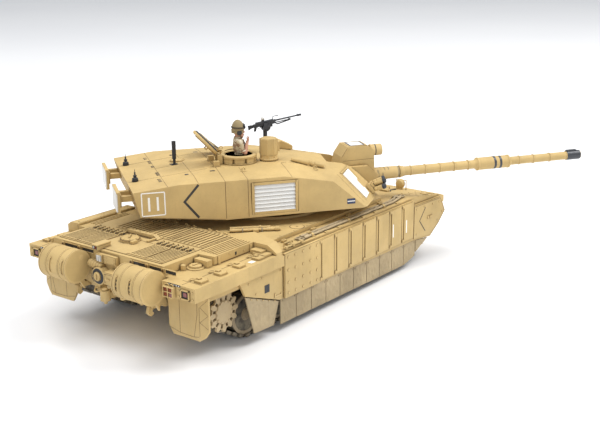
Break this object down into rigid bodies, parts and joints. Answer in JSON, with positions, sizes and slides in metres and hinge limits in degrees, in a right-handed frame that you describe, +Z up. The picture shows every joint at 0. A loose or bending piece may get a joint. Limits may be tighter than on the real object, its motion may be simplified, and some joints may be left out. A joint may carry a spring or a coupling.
{
  "type": "remote control tank",
  "caption": "Radio-controlled battle tank at 1:35 with traversing turret, elevating gun, hatches and spinning running gear.",
  "frame": {"origin": "on the ground, under the middle of the outline, with the turret turned right as stored", "axes": "+X to the front of the hull, +Y to its left, +Z up"},
  "size_m": [0.3095, 0.2084, 0.0996],
  "materials": {
    "sand_paint": "matt sand paint with a thin brown wash",
    "wheel_paint": "matt sand paint, dusty and darker",
    "rubber_skirt": "dusty wrinkled rubber",
    "track_rubber": "dull dark rubber",
    "lamp_red": "translucent red lens behind a painted guard",
    "cable_steel": "dull steel",
    "black_plastic": "fine-grained black",
    "board_green": "lacquered circuit board",
    "gun_metal": "dark grey satin",
    "panel_white": "white with grey wash in the louvres",
    "uniform": "painted camouflage cloth"
  },
  "bodies": {
    "hull": {"lower_hull": "sand_paint", "upper_hull": "sand_paint", "engine_deck": "sand_paint", "drum_left": "sand_paint", "drum_right": "sand_paint", "drum_brackets": "sand_paint", "mudflaps": "sand_paint", "lamps": "lamp_red", "skirt_left": "sand_paint", "skirt_right": "sand_paint", "rubber_skirt_left": "rubber_skirt", "rubber_skirt_right": "rubber_skirt", "tow_cables": "cable_steel", "deck_tools": "sand_paint", "tow_fittings": "sand_paint", "chassis_screws": "cable_steel", "gearbox_housing": "black_plastic", "drive_motors": "cable_steel", "battery_pack": "black_plastic", "control_board": "board_green", "track_left": "track_rubber", "track_right": "track_rubber", "traverse_motor": "cable_steel"},
    "battery_door": {"battery_door": "sand_paint"},
    "power_switch": {"power_switch": "black_plastic"},
    "driver_hatch": {"driver_hatch": "sand_paint"},
    "turret": {"turret_shell": "sand_paint", "turret_base": "sand_paint", "cupola": "sand_paint", "marker_panels": "panel_white", "smoke_launchers": "sand_paint", "crew_figure": "uniform"},
    "traverse_pinion": {"traverse_pinion": "cable_steel"},
    "commander_hatch": {"commander_hatch": "sand_paint"},
    "loader_hatch": {"loader_hatch": "sand_paint"},
    "panoramic_sight": {"panoramic_sight": "sand_paint"},
    "gun_pintle": {"gun_pintle": "gun_metal"},
    "machine_gun": {"machine_gun": "gun_metal"},
    "gun": {"gun_mount": "sand_paint", "gun_barrel": "sand_paint"},
    "sprocket_left": {"sprocket_left": "sand_paint"},
    "idler_left": {"idler_left": "wheel_paint"},
    "road_wheel_left_1": {"road_wheel_left_1": "wheel_paint"},
    "road_wheel_left_2": {"road_wheel_left_2": "wheel_paint"},
    "road_wheel_left_3": {"road_wheel_left_3": "wheel_paint"},
    "road_wheel_left_4": {"road_wheel_left_4": "wheel_paint"},
    "road_wheel_left_5": {"road_wheel_left_5": "wheel_paint"},
    "road_wheel_left_6": {"road_wheel_left_6": "wheel_paint"},
    "return_roller_left_1": {"return_roller_left_1": "wheel_paint"},
    "return_roller_left_2": {"return_roller_left_2": "wheel_paint"},
    "sprocket_right": {"sprocket_right": "sand_paint"},
    "idler_right": {"idler_right": "wheel_paint"},
    "road_wheel_right_1": {"road_wheel_right_1": "wheel_paint"},
    "road_wheel_right_2": {"road_wheel_right_2": "wheel_paint"},
    "road_wheel_right_3": {"road_wheel_right_3": "wheel_paint"},
    "road_wheel_right_4": {"road_wheel_right_4": "wheel_paint"},
    "road_wheel_right_5": {"road_wheel_right_5": "wheel_paint"},
    "road_wheel_right_6": {"road_wheel_right_6": "wheel_paint"},
    "return_roller_right_1": {"return_roller_right_1": "wheel_paint"},
    "return_roller_right_2": {"return_roller_right_2": "wheel_paint"}
  },
  "joints": [
    {"name": "sprocket_left_spin", "type": "hinge", "parent": "hull", "child": "sprocket_left", "pos_m": [-0.11248, 0.05841, 0.0209], "axis": [0, 1, 0], "continuous": true},
    {"name": "idler_left_spin", "type": "hinge", "parent": "hull", "child": "idler_left", "pos_m": [0.06752, 0.05841, 0.0215], "axis": [0, 1, 0], "continuous": true},
    {"name": "road_wheel_left_1_spin", "type": "hinge", "parent": "hull", "child": "road_wheel_left_1", "pos_m": [0.04472, 0.05841, 0.01285], "axis": [0, 1, 0], "continuous": true},
    {"name": "road_wheel_left_2_spin", "type": "hinge", "parent": "hull", "child": "road_wheel_left_2", "pos_m": [0.01732, 0.05841, 0.01285], "axis": [0, 1, 0], "continuous": true},
    {"name": "road_wheel_left_3_spin", "type": "hinge", "parent": "hull", "child": "road_wheel_left_3", "pos_m": [-0.01008, 0.05841, 0.01285], "axis": [0, 1, 0], "continuous": true},
    {"name": "road_wheel_left_4_spin", "type": "hinge", "parent": "hull", "child": "road_wheel_left_4", "pos_m": [-0.03748, 0.05841, 0.01285], "axis": [0, 1, 0], "continuous": true},
    {"name": "road_wheel_left_5_spin", "type": "hinge", "parent": "hull", "child": "road_wheel_left_5", "pos_m": [-0.06488, 0.05841, 0.01285], "axis": [0, 1, 0], "continuous": true},
    {"name": "road_wheel_left_6_spin", "type": "hinge", "parent": "hull", "child": "road_wheel_left_6", "pos_m": [-0.09228, 0.05841, 0.01285], "axis": [0, 1, 0], "continuous": true},
    {"name": "return_roller_left_1_spin", "type": "hinge", "parent": "hull", "child": "return_roller_left_1", "pos_m": [-0.05118, 0.05841, 0.02632], "axis": [0, 1, 0], "continuous": true},
    {"name": "return_roller_left_2_spin", "type": "hinge", "parent": "hull", "child": "return_roller_left_2", "pos_m": [0.00362, 0.05841, 0.02657], "axis": [0, 1, 0], "continuous": true},
    {"name": "sprocket_right_spin", "type": "hinge", "parent": "hull", "child": "sprocket_right", "pos_m": [-0.11248, -0.02079, 0.0209], "axis": [0, 1, 0], "continuous": true},
    {"name": "idler_right_spin", "type": "hinge", "parent": "hull", "child": "idler_right", "pos_m": [0.06752, -0.02079, 0.0215], "axis": [0, 1, 0], "continuous": true},
    {"name": "road_wheel_right_1_spin", "type": "hinge", "parent": "hull", "child": "road_wheel_right_1", "pos_m": [0.04472, -0.02079, 0.01285], "axis": [0, 1, 0], "continuous": true},
    {"name": "road_wheel_right_2_spin", "type": "hinge", "parent": "hull", "child": "road_wheel_right_2", "pos_m": [0.01732, -0.02079, 0.01285], "axis": [0, 1, 0], "continuous": true},
    {"name": "road_wheel_right_3_spin", "type": "hinge", "parent": "hull", "child": "road_wheel_right_3", "pos_m": [-0.01008, -0.02079, 0.01285], "axis": [0, 1, 0], "continuous": true},
    {"name": "road_wheel_right_4_spin", "type": "hinge", "parent": "hull", "child": "road_wheel_right_4", "pos_m": [-0.03748, -0.02079, 0.01285], "axis": [0, 1, 0], "continuous": true},
    {"name": "road_wheel_right_5_spin", "type": "hinge", "parent": "hull", "child": "road_wheel_right_5", "pos_m": [-0.06488, -0.02079, 0.01285], "axis": [0, 1, 0], "continuous": true},
    {"name": "road_wheel_right_6_spin", "type": "hinge", "parent": "hull", "child": "road_wheel_right_6", "pos_m": [-0.09228, -0.02079, 0.01285], "axis": [0, 1, 0], "continuous": true},
    {"name": "return_roller_right_1_spin", "type": "hinge", "parent": "hull", "child": "return_roller_right_1", "pos_m": [-0.05118, -0.02079, 0.02632], "axis": [0, 1, 0], "continuous": true},
    {"name": "return_roller_right_2_spin", "type": "hinge", "parent": "hull", "child": "return_roller_right_2", "pos_m": [0.00362, -0.02079, 0.02657], "axis": [0, 1, 0], "continuous": true},
    {"name": "turret_traverse", "type": "hinge", "parent": "hull", "child": "turret", "pos_m": [-0.01388, 0.01881, 0.049], "axis": [0, 0, 1], "range_deg": [-129, 201]},
    {"name": "traverse_pinion_spin", "type": "hinge", "parent": "hull", "child": "traverse_pinion", "pos_m": [-0.01388, 0.04588, 0.039], "axis": [0, 0, 1], "continuous": true},
    {"name": "gun_elevation", "type": "hinge", "parent": "turret", "child": "gun", "pos_m": [0.02334, -0.00823, 0.0588], "axis": [-0.5878, -0.809, 0], "range_deg": [-2.5, 14]},
    {"name": "commander_hatch_hinge", "type": "hinge", "parent": "turret", "child": "commander_hatch", "pos_m": [-0.04503, 0.0297, 0.0802], "axis": [0.5878, 0.809, 0], "range_deg": [-10, 42]},
    {"name": "loader_hatch_hinge", "type": "hinge", "parent": "turret", "child": "loader_hatch", "pos_m": [-0.02646, 0.04402, 0.0769], "axis": [0.5878, 0.809, 0], "range_deg": [-8, 144]},
    {"name": "panoramic_sight_turn", "type": "hinge", "parent": "turret", "child": "panoramic_sight", "pos_m": [-0.02221, 0.01176, 0.08], "axis": [0, 0, 1], "continuous": true},
    {"name": "gun_pintle_turn", "type": "hinge", "parent": "turret", "child": "gun_pintle", "pos_m": [-0.0069, 0.02672, 0.08], "axis": [0, 0, 1], "range_deg": [-150, 150]},
    {"name": "machine_gun_elevation", "type": "hinge", "parent": "gun_pintle", "child": "machine_gun", "pos_m": [-0.0069, 0.02672, 0.0919], "axis": [-0.5878, -0.809, 0], "range_deg": [-14, 26]},
    {"name": "driver_hatch_swing", "type": "hinge", "parent": "hull", "child": "driver_hatch", "pos_m": [0.04102, 0.01081, 0.046], "axis": [0, 0, 1], "range_deg": [-115, 0]},
    {"name": "battery_door_hinge", "type": "hinge", "parent": "hull", "child": "battery_door", "pos_m": [-0.04208, 0.01881, 0.0153], "axis": [0, 1, 0], "range_deg": [0, 75]},
    {"name": "power_switch_slide", "type": "slide", "parent": "hull", "child": "power_switch", "axis": [1, 0, 0], "range_m": [0, 0.0044]}
  ],
  "couplings": [
    {"joint": "idler_left_spin", "follows": "sprocket_left_spin", "ratio": 0.97826},
    {"joint": "road_wheel_left_1_spin", "follows": "sprocket_left_spin", "ratio": 0.78603},
    {"joint": "road_wheel_left_2_spin", "follows": "sprocket_left_spin", "ratio": 0.78603},
    {"joint": "road_wheel_left_3_spin", "follows": "sprocket_left_spin", "ratio": 0.78603},
    {"joint": "road_wheel_left_4_spin", "follows": "sprocket_left_spin", "ratio": 0.78603},
    {"joint": "road_wheel_left_5_spin", "follows": "sprocket_left_spin", "ratio": 0.78603},
    {"joint": "road_wheel_left_6_spin", "follows": "sprocket_left_spin", "ratio": 0.78603},
    {"joint": "return_roller_left_1_spin", "follows": "sprocket_left_spin", "ratio": 2.3377},
    {"joint": "return_roller_left_2_spin", "follows": "sprocket_left_spin", "ratio": 2.3377},
    {"joint": "idler_right_spin", "follows": "sprocket_right_spin", "ratio": 0.97826},
    {"joint": "road_wheel_right_1_spin", "follows": "sprocket_right_spin", "ratio": 0.78603},
    {"joint": "road_wheel_right_2_spin", "follows": "sprocket_right_spin", "ratio": 0.78603},
    {"joint": "road_wheel_right_3_spin", "follows": "sprocket_right_spin", "ratio": 0.78603},
    {"joint": "road_wheel_right_4_spin", "follows": "sprocket_right_spin", "ratio": 0.78603},
    {"joint": "road_wheel_right_5_spin", "follows": "sprocket_right_spin", "ratio": 0.78603},
    {"joint": "road_wheel_right_6_spin", "follows": "sprocket_right_spin", "ratio": 0.78603},
    {"joint": "return_roller_right_1_spin", "follows": "sprocket_right_spin", "ratio": 2.3377},
    {"joint": "return_roller_right_2_spin", "follows": "sprocket_right_spin", "ratio": 2.3377},
    {"joint": "traverse_pinion_spin", "follows": "turret_traverse", "ratio": -6}
  ]
}
